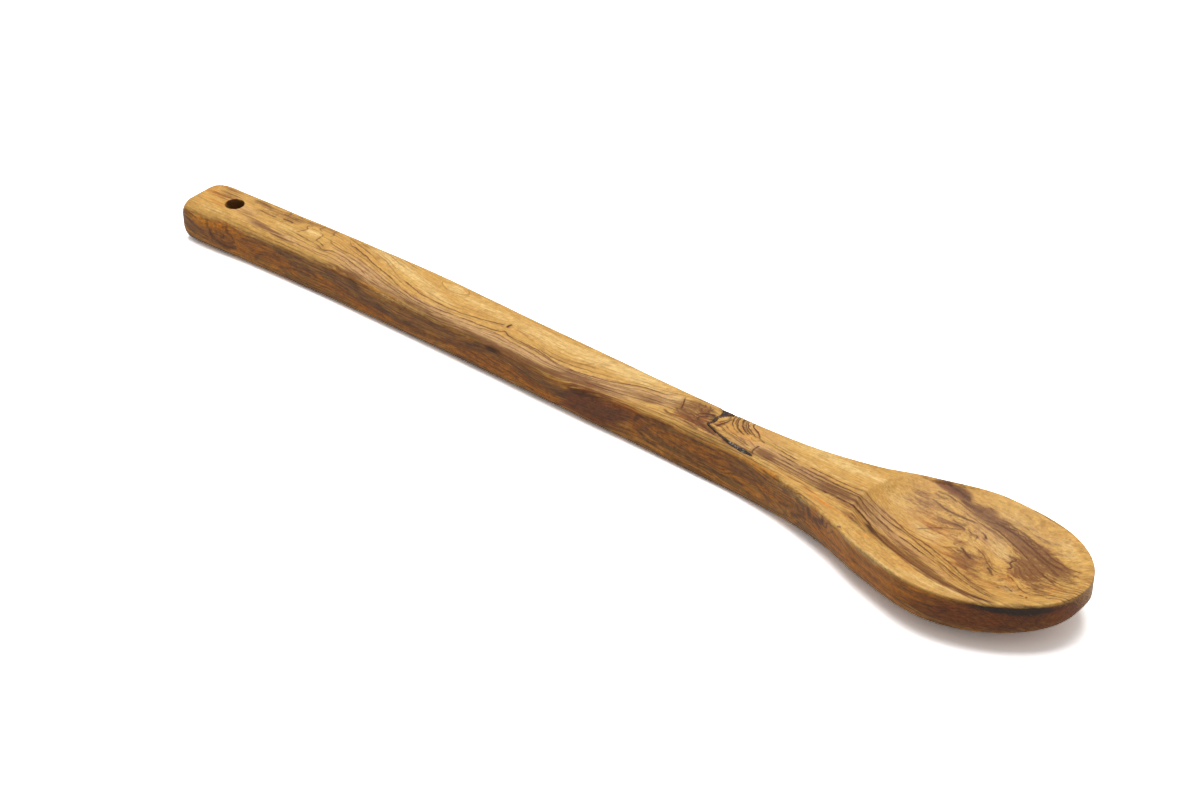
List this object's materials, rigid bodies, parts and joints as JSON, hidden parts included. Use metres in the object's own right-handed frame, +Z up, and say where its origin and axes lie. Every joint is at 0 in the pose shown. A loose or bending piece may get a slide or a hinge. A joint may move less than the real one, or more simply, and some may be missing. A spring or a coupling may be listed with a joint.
{
  "type": "wooden spoon",
  "caption": "Long carved olive-wood cooking spoon with a flat plank handle, a hanging hole at its end and a shallow oval bowl with a flat rim.",
  "frame": {"origin": "centre of the bounding box's underside, on the surface that the spoon lies on", "axes": "+X from the handle's end to the bowl's tip, +Y towards the straighter far edge, +Z up out of the hollow"},
  "size_m": [0.3, 0.0434, 0.0153],
  "materials": {
    "olive_wood": "oiled, smooth sanded",
    "bark": "dark ingrown bark, sanded flush"
  },
  "bodies": {
    "root": {"spoon_body": "olive_wood", "bark_inclusion": "bark"}
  },
  "joints": []
}
